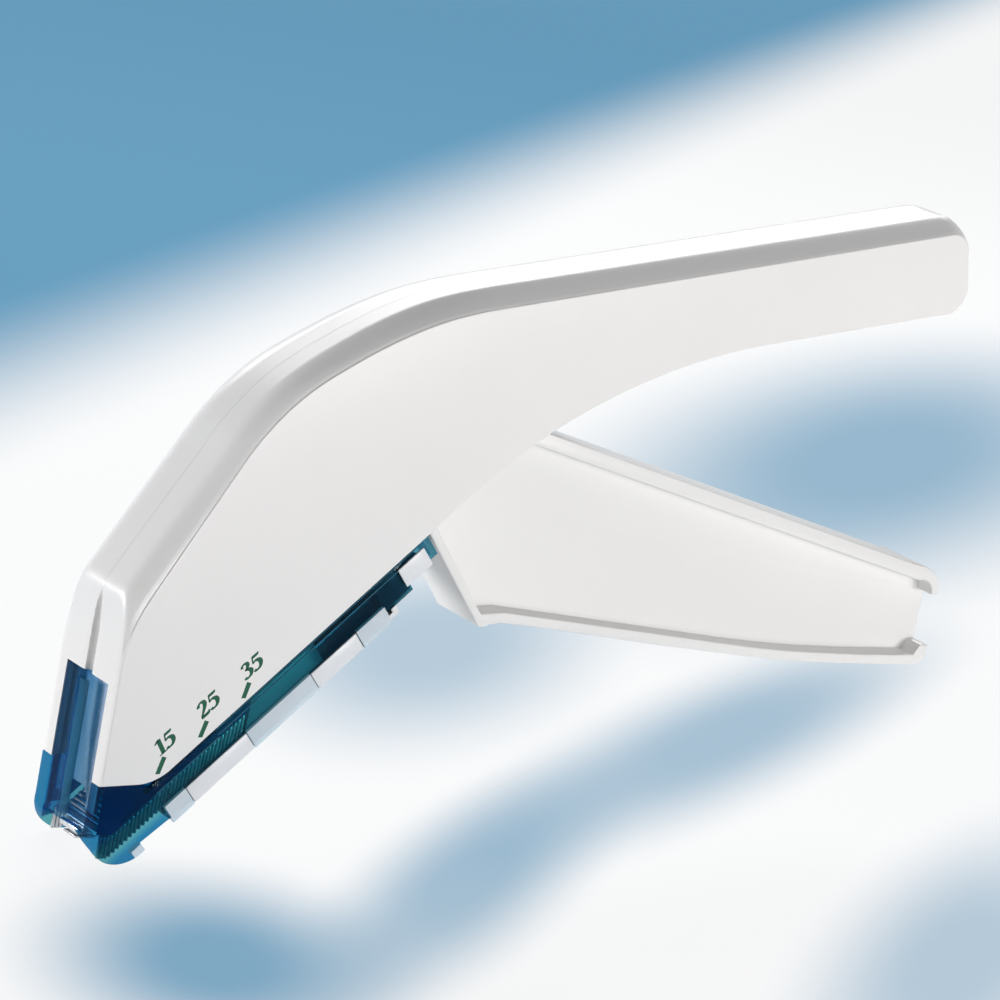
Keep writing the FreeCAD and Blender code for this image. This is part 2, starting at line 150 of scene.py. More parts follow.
def blended(nodes, links, share, first, second):
    """Mix of two shaders."""
    node = nodes.new("ShaderNodeMixShader")
    links.new(share, node.inputs[0])
    links.new(first, node.inputs[1])
    links.new(second, node.inputs[2])
    return node.outputs[0]


def bump(nodes, links, height, shader, strength, distance):
    """Small relief in a shader's surface."""
    node = nodes.new("ShaderNodeBump")
    node.inputs["Strength"].default_value = strength
    node.inputs["Distance"].default_value = distance
    links.new(height, node.inputs["Height"])
    links.new(node.outputs["Normal"], shader.inputs["Normal"])


def plastic(name, color, rough, grain, sheen=0.5):
    """Opaque moulded plastic: faint cloudiness, uneven gloss, a fine skin from the mould, and painted shade
    that darkens its colour in corners, creases and between parts.
    """
    mat, nodes, links, shader = new_material(name)
    clouds = noise(nodes, links, 28.0, 2.0)
    low = opaque(c * 0.985 for c in color)
    high = opaque(min(1.0, c * 1.01) for c in color)
    tint = ramp(nodes, links, clouds.outputs["Fac"], [(0.25, low), (0.75, high)])
    # Painted shade: ambient occlusion darkens the base colour in corners, creases and between parts.
    painted_crease_shade = nodes.new("ShaderNodeAmbientOcclusion")
    painted_crease_shade.samples = 8
    painted_crease_shade.inputs["Distance"].default_value = 0.0016
    shade = ramp(nodes, links, painted_crease_shade.outputs["AO"], [(0.2, grey(0.55)), (0.78, grey(1.0))])
    color = mixed(nodes, links, 1.0, tint.outputs["Color"], shade.outputs["Color"], "MULTIPLY")
    links.new(color, shader.inputs["Base Color"])
    wear = noise(nodes, links, 90.0, 3.0, 0.5)
    gloss = ramp(nodes, links, wear.outputs["Fac"], [(0.2, grey(rough * 0.9)), (0.8, grey(rough * 1.1))])
    links.new(gloss.outputs["Color"], shader.inputs["Roughness"])
    skin = noise(nodes, links, 2600.0, 2.0)
    bump(nodes, links, skin.outputs["Fac"], shader, grain, 0.00004)
    shader.inputs["Specular IOR Level"].default_value = sheen
    shader.inputs["IOR"].default_value = 1.5
    return mat


BAND_START = -20.0              # millimetres from MAG_ZERO at which a ramp's first place lies
BAND_LENGTH = 70.0


def banded(nodes, links, axis, tints):
    """Colour by distance from MAG_ZERO along an axis, from (millimetres, colour) stops."""
    coord = nodes.new("ShaderNodeTexCoord")
    run = nodes.new("ShaderNodeVectorMath")
    run.operation = "DOT_PRODUCT"
    links.new(coord.outputs["Object"], run.inputs[0])
    run.inputs[1].default_value = axis
    start = (MAG_ZERO[0] * axis[0] + MAG_ZERO[1] * axis[2]) * MM
    scale = nodes.new("ShaderNodeMapRange")
    links.new(run.outputs["Value"], scale.inputs["Value"])
    scale.inputs["From Min"].default_value = start + BAND_START * MM
    scale.inputs["From Max"].default_value = start + (BAND_START + BAND_LENGTH) * MM
    stops = [((at - BAND_START) / BAND_LENGTH, opaque(c)) for at, c in tints]
    return ramp(nodes, links, scale.outputs["Result"], stops).outputs["Color"]


# Share of a row's tints in the plastic's tint, by depth below the edge line.
ROW_BAND = [(1.9, (0, 0, 0)), (2.3, (1, 1, 1)), (4.7, (1, 1, 1)), (5.3, (0, 0, 0))]


def clear(name, tints, body, haze=0.1, edge=0.8, axis=ALONG, row=None):
    """Tinted clear plastic. Tints are (millimetres along the axis, colour let through by one face).
    Body is the plastic's own colour, seen from the front and at a slant. Haze and edge are its shares there.
    Row gives the tints of the band in which the staples lie."""
    mat, nodes, links, shader = new_material(name)
    shade = banded(nodes, links, axis, tints)
    if row:
        share = banded(nodes, links, BELOW, ROW_BAND)
        shade = mixed(nodes, links, share, shade, banded(nodes, links, axis, row))
    through = nodes.new("ShaderNodeBsdfTransparent")
    links.new(shade, through.inputs["Color"])
    weight = nodes.new("ShaderNodeLayerWeight")
    weight.inputs["Blend"].default_value = 0.3
    facing = weight.outputs["Facing"]
    hue = ramp(nodes, links, facing, [(0.25, opaque(body[0])), (0.8, opaque(body[1]))])
    links.new(hue.outputs["Color"], shader.inputs["Base Color"])
    shader.inputs["Roughness"].default_value = 0.05
    shader.inputs["IOR"].default_value = 1.58
    ripple = noise(nodes, links, 240.0, 2.0)
    bump(nodes, links, ripple.outputs["Fac"], shader, 0.12, 0.0001)
    share = ramp(nodes, links, facing, [(0.0, grey(haze)), (0.5, grey(haze * 1.3)), (1.0, grey(edge))])
    surface = blended(nodes, links, share.outputs["Color"], through.outputs[0], shader.outputs[0])
    links.new(surface, nodes["Material Output"].inputs["Surface"])
    return mat


def metal(name, color, rough, stretch):
    """Rolled or drawn steel with fine lines along its length."""
    mat, nodes, links, shader = new_material(name)
    shader.inputs["Metallic"].default_value = 1.0
    lines = noise(nodes, links, 900.0, 3.0, 0.6, stretch)
    low = opaque(c * 0.86 for c in color)
    high = opaque(min(1.0, c * 1.06) for c in color)
    tint = ramp(nodes, links, lines.outputs["Fac"], [(0.3, low), (0.7, high)])
    links.new(tint.outputs["Color"], shader.inputs["Base Color"])
    gloss = ramp(nodes, links, lines.outputs["Fac"], [(0.3, grey(rough * 0.8)), (0.7, grey(rough * 1.25))])
    links.new(gloss.outputs["Color"], shader.inputs["Roughness"])
    bump(nodes, links, lines.outputs["Fac"], shader, 0.15, 0.00003)
    return mat


WHITE = plastic("housing_plastic", (0.83, 0.81, 0.795), 0.3, 0.05)
LEVER = plastic("lever_plastic", (0.82, 0.805, 0.79), 0.3, 0.08)
TEAL = (0.48, 0.82, 0.84)
DARK_TEAL = (0.16, 0.44, 0.52)
REAR_TINTS = [(20.0, TEAL), (24.0, DARK_TEAL), (36.0, DARK_TEAL), (42.0, (0.4, 0.75, 0.85))]
BLUE = clear("clear_blue_plastic",
             [(-12.0, (0.17, 0.49, 0.68)), (-3.0, (0.26, 0.60, 0.74)), (5.0, TEAL)] + REAR_TINTS,
             ((0.0, 0.08, 0.17), (0.0, 0.08, 0.20)),
             row=[(-12.0, (0.34, 0.66, 0.70)), (3.0, (0.42, 0.76, 0.78)), (8.0, TEAL)] + REAR_TINTS)
# Painted light and shade: the tint runs from nearly clear on the near side to blue on the far side, so the
# blade's near half looks lit and its far half, beside the column, shaded.
COVER = clear("clear_cover_plastic",
              [(-5.3, (0.93, 0.96, 1.0)), (-0.9, (0.90, 0.95, 1.0)), (0.9, (0.55, 0.78, 0.92)),
               (5.3, (0.50, 0.75, 0.90))],
              ((0.0, 0.12, 0.28), (0.0, 0.08, 0.22)), axis=ACROSS)
PANEL = clear("clear_panel_plastic",
              [(-14.0, (0.17, 0.48, 0.78)), (-5.0, (0.06, 0.25, 0.42)), (9.0, (0.05, 0.22, 0.34))],
              ((0.0, 0.14, 0.36), (0.0, 0.06, 0.18)), haze=0.5)
RIB = clear("clear_rib_plastic", [(0.0, (0.3, 0.62, 0.72)), (30.0, (0.3, 0.62, 0.72))],
            ((0.02, 0.2, 0.3), (0.0, 0.10, 0.22)), haze=0.4)
PALE = clear("clear_tab_plastic", [(0.0, (0.8, 0.9, 0.94)), (30.0, (0.85, 0.93, 0.96))],
             ((0.70, 0.77, 0.83), (0.02, 0.16, 0.30)), haze=0.72, edge=0.95)
PLATE = plastic("base_plastic", (0.76, 0.77, 0.79), 0.3, 0.08)
# Painted shade: a dark colour for the base plate's inner faces, where the staples' row lies in shadow.
BASE_PAINTED_SHADE = plastic("base_inner_painted_shade", (0.015, 0.09, 0.11), 0.35, 0.1)
PLUG = plastic("plug_plastic", (0.62, 0.59, 0.55), 0.35, 0.1)
PUSHER = plastic("pusher_plastic", (0.42, 0.58, 0.68), 0.35, 0.1)
CARRIER = plastic("carrier_plastic", (0.70, 0.71, 0.72), 0.4, 0.12)
STEEL = metal("sheet_steel", (0.72, 0.73, 0.75), 0.24, (1.0, 1.0, 0.06))
PIN = metal("pin_steel", (0.62, 0.63, 0.65), 0.2, (1.0, 0.05, 1.0))
WIRE = metal("staple_steel", (0.45, 0.47, 0.49), 0.3, (1.0, 0.1, 1.0))
SPRING = metal("spring_steel", (0.60, 0.61, 0.64), 0.25, (1.0, 1.0, 1.0))
INK = plastic("green_ink", (0.0, 0.085, 0.04), 0.55, 0.1, 0.3)


# making pieces

def finish_mesh(obj, sharp):
    """Smooth shading, with the edges sharper than the angle left sharp."""
    mesh = obj.data
    mesh.polygons.foreach_set("use_smooth", [True] * len(mesh.polygons))
    mesh.set_sharp_from_angle(angle=math.radians(sharp))
    mesh.update()


def piece(name, verts, faces, mat, sharp=35.0):
    """A new object from points in millimetres."""
    mesh = bpy.data.meshes.new(name)
    mesh.from_pydata([(x * MM, y * MM, z * MM) for x, y, z in verts], [], faces)
    mesh.validate()
    obj = bpy.data.objects.new(name, mesh)
    bpy.context.scene.collection.objects.link(obj)
    mesh.materials.append(mat)
    bm = bmesh.new()
    bm.from_mesh(mesh)
    bmesh.ops.recalc_face_normals(bm, faces=bm.faces)
    bm.to_mesh(mesh)
    bm.free()
    finish_mesh(obj, sharp)
    return obj


def baked(obj):
    """Applies the object's modifiers."""
    deps = bpy.context.evaluated_depsgraph_get()
    mesh = bpy.data.meshes.new_from_object(obj.evaluated_get(deps))
    obj.modifiers.clear()
    obj.data = mesh


def cut(obj, tools):
    """Cuts closed tool pieces out of a piece and removes them."""
    for tool in tools:
        mod = obj.modifiers.new("cut", "BOOLEAN")
        mod.operation = "DIFFERENCE"
        mod.solver = "EXACT"
        mod.object = tool
    bpy.context.view_layer.update()
    baked(obj)
    for tool in tools:
        bpy.data.objects.remove(tool)


def softened(node, mat, width, segments=2):
    """A copy of a CAD node whose edges are rounded by width."""
    source = NODES[node]
    mesh = source.data.copy()
    bm = bmesh.new()
    bm.from_mesh(mesh)
    bmesh.ops.remove_doubles(bm, verts=bm.verts, dist=2e-6)
    bmesh.ops.dissolve_limit(bm, angle_limit=math.radians(1.0), verts=bm.verts, edges=bm.edges)
    bm.to_mesh(mesh)
    bm.free()
    obj = bpy.data.objects.new(node + "_soft", mesh)
    bpy.context.scene.collection.objects.link(obj)
    mod = obj.modifiers.new("round", "BEVEL")
    mod.width = width * MM
    mod.segments = segments
    mod.limit_method = "ANGLE"
    mod.angle_limit = math.radians(28.0)
    mod.use_clamp_overlap = True
    bpy.context.view_layer.update()
    baked(obj)
    obj.data.materials.clear()
    obj.data.materials.append(mat)
    finish_mesh(obj, 32.0)
    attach(obj, BODY[node])
    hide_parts(node)
    return obj


def paint(node, mat):
    """Gives a CAD node its material, with its shape as it is."""
    data = NODES[node].data
    data.materials.clear()
    data.materials.append(mat)


def tube(points, radius, sides):
    """Verts and faces of a round wire through points, with flat ends."""
    verts = []
    faces = []
    count = len(points)
    normal = None
    for i, p in enumerate(points):
        before = points[max(i - 1, 0)]
        after = points[min(i + 1, count - 1)]
        along = (after - before).normalized()
        if normal is None:
            normal = along.orthogonal().normalized()
        normal = (normal - along * normal.dot(along)).normalized()
        side = along.cross(normal)
        for k in range(sides):
            a = 2 * math.pi * k / sides
            v = p + (normal * math.cos(a) + side * math.sin(a)) * radius
            verts.append(tuple(v))
    for i in range(count - 1):
        for k in range(sides):
            j = (k + 1) % sides
            faces.append((i * sides + k, i * sides + j, (i + 1) * sides + j, (i + 1) * sides + k))
    faces.append(tuple(range(sides)))
    faces.append(tuple((count - 1) * sides + k for k in range(sides)))
    return verts, faces


# housing outline, as in the CAD source

# Points of the shoulder on the side wall: place, outward normal, depth of the bevel, and how far each
# follows the nose and not the top.
SHOULDER = [
    ((44.1, 77.9), (-0.30, 0.954), 2.1, 0.1),
    ((30.7, 72.0), (-0.47, 0.883), 2.0, 0.4),
    ((22.1, 66.4), (-0.648, 0.762), 2.0, 0.7),
    ((16.4, 60.2), (-0.82, 0.572), 2.0, 0.9),
    ((13.4, 55.4), (-0.862, 0.507), 2.0, 1.0),
]
BROW = (3.6, 38.74)


def lifted(point, normal, depth, share):
    """A point moved along its normal by a share of the depth."""
    return (point[0] + normal[0] * depth * share, point[1] + normal[1] * depth * share)


def line(a, b, count):
    """Points after a along the line to b."""
    return [(a[0] + (b[0] - a[0]) * i / count, a[1] + (b[1] - a[1]) * i / count)
            for i in range(1, count + 1)]


def arc(a, m, b, count):
    """Points after a along the circle through a, m and b."""
    d = 2 * (a[0] * (m[1] - b[1]) + m[0] * (b[1] - a[1]) + b[0] * (a[1] - m[1]))
    aa, mm, bb = (p[0] ** 2 + p[1] ** 2 for p in (a, m, b))
    cx = (aa * (m[1] - b[1]) + mm * (b[1] - a[1]) + bb * (a[1] - m[1])) / d
    cz = (aa * (b[0] - m[0]) + mm * (a[0] - b[0]) + bb * (m[0] - a[0])) / d
    r = math.hypot(a[0] - cx, a[1] - cz)
    t0 = math.atan2(a[1] - cz, a[0] - cx)
    t1 = math.atan2(b[1] - cz, b[0] - cx)
    tm = math.atan2(m[1] - cz, m[0] - cx)
    sweep = (t1 - t0) % (2 * math.pi)
    if (tm - t0) % (2 * math.pi) > sweep:
        sweep -= 2 * math.pi
    return [(cx + r * math.cos(t0 + sweep * i / count), cz + r * math.sin(t0 + sweep * i / count))
            for i in range(1, count + 1)]


def smooth(points, first, last, count):
    """Hermite curve through points, leaving along first and arriving along last."""
    steps = [math.dist(p, q) for p, q in zip(points, points[1:])]
    slopes = []
    for i in range(len(points)):
        if i == 0:
            slopes.append(first)
        elif i == len(points) - 1:
            slopes.append(last)
        else:
            span = steps[i - 1] + steps[i]
            slopes.append(tuple(((points[i + 1][k] - points[i][k]) / steps[i] * steps[i - 1]
                                 + (points[i][k] - points[i - 1][k]) / steps[i - 1] * steps[i]) / span
                                for k in (0, 1)))
    out = []
    for i, h in enumerate(steps):
        for j in range(1, count + 1):
            t = j / count
            a = 2 * t ** 3 - 3 * t ** 2 + 1
            b = (t ** 3 - 2 * t ** 2 + t) * h
            c = -2 * t ** 3 + 3 * t ** 2
            d = (t ** 3 - t ** 2) * h
            out.append(tuple(a * points[i][k] + b * slopes[i][k]
                             + c * points[i + 1][k] + d * slopes[i + 1][k] for k in (0, 1)))
    return out


def unit(a, b):
    """Direction from a to b."""
    d = math.dist(a, b)
    return ((b[0] - a[0]) / d, (b[1] - a[1]) / d)


def outline(t, n, rear):
    """Side view of the housing's skin: t, n and rear push out the top, the nose and the back end."""
    out = 1.5 * n
    top_rear = (138.0, 93.64 + 1.86 * t)
    top_front = (57.0, 80.62 + 2.18 * t)
    bend = [lifted(p, m, d, t + (n - t) * w) for p, m, d, w in SHOULDER]
    brow = lifted(BROW, (-0.862, 0.507), 2.9, n)
    pts = [(-out, BODY_EDGE)]
    pts += line(pts[-1], (6.0, BODY_EDGE), 10)
    pts += arc(pts[-1], (8.87, 12.03), (11.35, 13.54), 10)
    pts += line(pts[-1], (48.5, 47.0), 12)
    pts += arc(pts[-1], (58.6, 56.0), (68.0, 62.6), 12)
    pts += arc(pts[-1], (85.3, 70.7), (104.0, 75.6), 16)
    pts += line(pts[-1], (139.8, 81.1), 10)
    pts += arc(pts[-1], (142.2 + 0.8 * rear, 82.2), (143.4 + rear, 85.0), 10)
    pts += line(pts[-1], (142.0 + rear, 90.3 + t), 4)
    pts += arc(pts[-1], (140.9 + 0.8 * rear, 92.7 + 1.6 * t), top_rear, 12)
    pts += line(pts[-1], top_front, 20)
    pts += smooth([top_front] + bend, unit(top_rear, top_front), unit(bend[-1], brow), 10)
    pts += line(pts[-1], brow, 24)
    pts += arc(pts[-1], (1.15 - 2.6 * n, 33.3 + 1.2 * n), (-out, 27.5), 30)
    pts += line(pts[-1], (-out, BODY_EDGE), 36)[:-1]
    return pts


def inset(points, depth):
    """Moves a closed outline inwards, square at its corners. It runs anticlockwise in X and Z."""
    count = len(points)
    moved = []
    for i in range(count):
        a = unit(points[i - 1], points[i])
        b = unit(points[i], points[(i + 1) % count])
        share = depth / max(0.4, 1.0 + a[0] * b[0] + a[1] * b[1])
        moved.append((points[i][0] - (a[1] + b[1]) * share, points[i][1] + (a[0] + b[0]) * share))
    return moved


GROOVE_TOP = 37.6
GROOVE_FOOT = 15.0
GROOVE_RUN_IN = 6.0             # height over which it reaches its full size
GROOVE_HALF = 0.95
GROOVE_DEPTH = 0.85
LIP_DEPTH = 0.26
LIP_WIDTH = 1.7


def groove(y, z):
    """Depth of the channel that runs down the front from the brow to the window, with its eased lips."""
    if z > GROOVE_TOP or z < GROOVE_FOOT:
        return 0.0
    start = min(1.0, (GROOVE_TOP - z) / GROOVE_RUN_IN)
    wide = GROOVE_HALF * start ** 0.6
    u = abs(y) / wide
    ease = LIP_DEPTH * start * max(0.0, 1.0 - abs(y) / (wide + LIP_WIDTH * start)) ** 2
    if u >= 1.0:
        return ease
    return ease + GROOVE_DEPTH * start ** 0.5 * math.sqrt(1.0 - u * u)


NOSE_SOFT = 0.45                # softness of the edge where the nose is flattened at X 0


def skin_ring(y, seam=0.0):
    """Outline of the housing's skin at a distance from the middle plane, sunk by seam. The nose is flattened
    at X 0 and has the groove."""
    u = max(0.0, (abs(y) - FLAT) / (HALF - FLAT))
    pts = outline(1.0 - u ** 1.35, 1.0 - u ** 3.4, 1.2 * (1.0 - u ** 2.5))
    if seam:
        pts = inset(pts, seam)
    ring = []
    for x, z in pts:
        if x < 3.0 and z < 60.0:
            x = (x + math.sqrt(x * x + NOSE_SOFT * NOSE_SOFT)) / 2
        if x < 3.0:
            x = max(x, groove(y, z))
        ring.append((x, z))
    return ring


def prism(name, pts, y0, y1, mat=WHITE):
    """A side-view outline drawn out from y0 to y1."""
    count = len(pts)
    verts = [(x, y0, z) for x, z in pts] + [(x, y1, z) for x, z in pts]
    faces = [tuple(range(count)), tuple(range(2 * count - 1, count - 1, -1))]
    faces += [(i, (i + 1) % count, count + (i + 1) % count, count + i) for i in range(count)]
    return piece(name, verts, faces, mat)


def block(name, x0, x1, y0, y1, z0, z1):
    """A box between two values on each axis."""
    return prism(name, [(x0, z0), (x1, z0), (x1, z1), (x0, z1)], y0, y1)


def drum(name, centre, radius, y0, y1):
    """A round boss across the housing."""
    sides = 32
    pts = [(centre[0] + radius * math.cos(2 * math.pi * k / sides),
            centre[1] + radius * math.sin(2 * math.pi * k / sides)) for k in range(sides)]
    return prism(name, pts, y0, y1)


def join(obj, others):
    """Adds other pieces' meshes to a piece and removes them."""
    bm = bmesh.new()
    bm.from_mesh(obj.data)
    for other in others:
        bm.from_mesh(other.data)
        bpy.data.objects.remove(other)
    bm.to_mesh(obj.data)
    bm.free()


def spread(side, near, far):
    """Low and high Y of what lies between two distances from the middle plane."""
    return sorted((side * near, side * far))


# Distances from the middle plane at which the skin's outline is drawn, close together at the groove.
SKIN_LEVELS = [0.0, 0.03, 0.25, 0.45, 0.65, 0.78, 0.87, 0.92, 0.95, 1.0, 1.1, 1.25, 1.5, 1.75, 2.0, 2.3, 2.6,
               3.0, 3.3, 3.6, 3.9, 4.2, 4.5, 4.8, 5.1, 5.4, 5.7, 6.0, 6.3, 6.55, 6.75, 6.95, 7.02]
SEAM = 0.03                     # how far the skin is sunk at the seam
SIDE_EDGE = 0.25                # rounding between the bevel and the side face


def skin_mesh(name, side):
    """The outer skin of one half, from the seam to the side face."""
    rings = [(y, skin_ring(y, SEAM if y == 0.0 else 0.0)) for y in SKIN_LEVELS]
    last = skin_ring(HALF - SIDE_EDGE * 0.6)
    for k in range(7):
        a = math.radians(15.0 * k)
        rings.append((HALF - SIDE_EDGE * (1 - math.sin(a)), inset(last, SIDE_EDGE * (1 - math.cos(a)))))
    count = len(rings[0][1])
    verts = []
    for y, ring in rings:
        verts += [(x, side * y, z) for x, z in ring]
    faces = []
    for i in range(len(rings) - 1):
        for k in range(count):
            j = (k + 1) % count
            faces.append((i * count + k, i * count + j, (i + 1) * count + j, (i + 1) * count + k))
    faces.append(tuple(range(count)))
    faces.append(tuple(range((len(rings) - 1) * count, len(rings) * count)))
    return piece(name, verts, faces, WHITE)


def housing(side, node):
    """One half of the housing, hollowed, with its inner bosses. side is -1 for the left half."""
    obj = skin_mesh(node + "_shell", side)
    past = -0.2                 # tools reach this far over the middle plane
    bend = [lifted(p, m, d, -0.15) for p, m, d, w in SHOULDER]
    bend.reverse()
    hollow = [(1.2, 5.0), (1.2, 33.9)] + bend + [(57.0, 80.3), (137.8, 93.25), (140.9, 91.4), (142.1, 85.6)]
    hollow += [(139.9, 83.0), (104.3, 77.5), (96.5, 76.0), (96.5, 55.0), (60.0, 0.0)]
    cut(obj, [prism("hollow", hollow, *spread(side, INNER, past)),
              block("window", -3.0, 1.4, *spread(side, WINDOW_HALF, past), 5.0, WINDOW_TOP)])
    root = INNER + 0.1
    inside = [drum("boss", p, 2.6, *spread(side, root, 0.12)) for p in PEGS]
    inside.append(drum("pivot_boss", PIVOT, 3.4, *spread(side, root, 5.15)))
    inside.append(block("shelf", 2.5, 12.35, *spread(side, root, 0.0), 14.6, 16.5))
    inside.append(block("guide", 11.5, 12.4, *spread(side, root, INNER - 0.5), 16.5, 43.0))
    join(obj, inside)
    finish_mesh(obj, 30.0)
    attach(obj, BODY[node])
    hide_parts(node)


housing(-1, "left_housing")
housing(1, "right_housing")


# lever, magazine and inner parts

softened("squeeze_lever", LEVER, 0.45, segments=3)


SIDE_FACE = 6.0                 # faces further out than this are on the side walls
BASE_INSIDE = 6.68              # depth down to which the base plate's inner faces get painted shade
TAB_TOP = 4.4                   # upper edges of the tabs and the toe, below the edge line
TOE_TOP = 6.0
FRONT_TAB = (-9.0, -5.0)        # ends of the tabs along the magazine
LONG_TAB = (5.2, 33.5)
TOE = (-16.5, -14.5)


def split_tabs(obj):
    """Cuts the side walls' faces round the tabs and the toe, and gives those the paler plastic."""
    cuts = [(mag(0.0, at), BELOW) for at in (TAB_TOP, TOE_TOP)]
    cuts += [(mag(at, 0.0), ALONG) for at in TOE[:1] + FRONT_TAB + LONG_TAB]
    bm = bmesh.new()
    bm.from_mesh(obj.data)
    for point, normal in cuts:
        everything = bm.verts[:] + bm.edges[:] + bm.faces[:]
        bmesh.ops.bisect_plane(bm, geom=everything, dist=1e-7, plane_no=normal,
                               plane_co=(point[0] * MM, 0.0, point[1] * MM))
    bm.to_mesh(obj.data)
    bm.free()
    obj.data.materials.append(PALE)
    for face in obj.data.polygons:
        along, depth, out = face_place(face)
        tab = depth > TAB_TOP and any(a - 0.05 < along < b + 0.05 for a, b in (FRONT_TAB, LONG_TAB))
        toe = depth > TOE_TOP and TOE[0] < along < TOE[1]
        if out > SIDE_FACE and abs(face.normal.y) > 0.75 and (tab or toe):
            face.material_index = 1


def magazine_trim(name, hand, corners, near, far, mat):
    """A thin flat piece on one side wall of the magazine."""
    side = "_left" if hand < 0 else "_right"
    obj = prism("magazine_" + name + side, corners, *spread(hand, near, far), mat)
    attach(obj, "stapler_body")


# Ribs on the walls: name, first and last place along the magazine, top and foot below the edge line.
RIBS = [
    ("rib_upper", 3.0, 42.0, 0.2, 0.4),
    ("rib_lower", 3.0, 42.0, 1.1, 1.3),
    ("rib_front", -15.4, 3.0, 1.5, 1.72),
]
# Panel inside the wall, between the staples and the housing's edge.
PANEL_OUTLINE = [(1.45, 4.15), (4.2, 4.15), mag(9.1, 2.22), mag(9.6, 1.0), mag(-10.2, 1.0), mag(-10.2, 0.04),
                 mag(-5.6, 0.03), (10.2, 12.55), (8.87, 11.93), (7.4, 11.56), (6.0, 11.42), (1.45, 11.4)]

split_tabs(softened("magazine_body", BLUE, 0.2))
for hand in (-1, 1):
    for name, s0, s1, p0, p1 in RIBS:
        corners = [mag(s0, p0), mag(s1, p0), mag(s1, p1), mag(s0, p1)]
        magazine_trim(name, hand, corners, MAG_WALL_OUT - 0.02, MAG_WALL_OUT + 0.12, RIB)
for hand in (-1, 1):
    magazine_trim("panel", hand, PANEL_OUTLINE, MAG_WALL_IN - 0.13, MAG_WALL_IN - 0.03, PANEL)
softened("nose_cover", COVER, 0.15)


def nose_column():
    """The rounded column down the middle of the nose cover."""
    steps = 14
    n = steps + 1
    half = 1.05
    depth = 0.42
    foot = 5.4
    top = 24.5
    section = [(-0.12 - depth * math.sin(math.pi * k / steps), half * math.cos(math.pi * k / steps))
               for k in range(n)]
    verts = []
    for z in (foot, top):
        verts += [(x, y, z) for x, y in section]
    faces = [(i, i + 1, n + i + 1, n + i) for i in range(n - 1)]
    faces += [(n - 1, 0, n, 2 * n - 1), tuple(reversed(range(n))), tuple(range(n, 2 * n))]
    obj = piece("nose_column", verts, faces, RIB, 30.0)
    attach(obj, "stapler_body")


def magazine_base():
    """The base plate, with painted shade on its inner faces under the staples."""
    obj = softened("magazine_base", PLATE, 0.15)
    obj.data.materials.append(BASE_PAINTED_SHADE)
    for face in obj.data.polygons:
        depth, out = face_place(face)[1:]
        if out < SIDE_FACE and depth < BASE_INSIDE:
            face.material_index = 1


nose_column()
magazine_base()
softened("magazine_tail_clip", PLATE, 0.12)
softened("pusher", PUSHER, 0.15)
softened("magazine_end_plug", PLUG, 0.15)
softened("driver_carrier", CARRIER, 0.2)
softened("driver_blade", STEEL, 0.05)
softened("anvil", STEEL, 0.08)
softened("staple_rail", STEEL, 0.05)
softened("ejector_spring", SPRING, 0.04)
paint("lever_pivot_pin", PIN)
paint("drive_pin", PIN)
paint("pusher_guide_rod", PIN)
paint("staples", WIRE)


def spring(name, node, base, axis, length, turns, radius, wire):
    """Round-wire coil with closed ends, of a fixed length. Radius is to the middle of the wire."""
    points = []
    ends = 1.0
    rise = wire * 1.02
    inner = length - wire
    count = int(turns * 28)
    base = Vector(base)
    axis = Vector(axis).normalized()
    u = axis.cross(Vector((0, 1, 0))).normalized()
    v = axis.cross(u)
    for i in range(count + 1):
        turn = turns * i / count
        if turn < ends:
            h = rise * turn * turn / ends
        elif turn > turns - ends:
            rest = turns - turn
            h = inner - rise * rest * rest / ends
        else:
            first = rise * ends
            h = first + (inner - 2 * first) * (turn - ends) / (turns - 2 * ends)
        a = 2 * math.pi * turn
        points.append(base + axis * (h + wire / 2) + (u * math.cos(a) + v * math.sin(a)) * radius)
    verts, faces = tube(points, wire / 2, 10)
    obj = piece(name, verts, faces, SPRING, 60.0)
    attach(obj, "stapler_body")
    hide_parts(node)
    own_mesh(obj)


spring("return_coil", "return_spring", (6.6, 0.0, 16.5), (0, 0, 1),
       length=12.5, turns=7.0, radius=2.8, wire=0.8)
seat = mag(33.6, 4.4)
spring("pusher_coil", "pusher_spring", (seat[0], 0.0, seat[1]),
       (-math.cos(MAG_ANGLE), 0, -math.sin(MAG_ANGLE)),
       length=11.6, turns=14.0, radius=1.3, wire=0.36)


# count marks

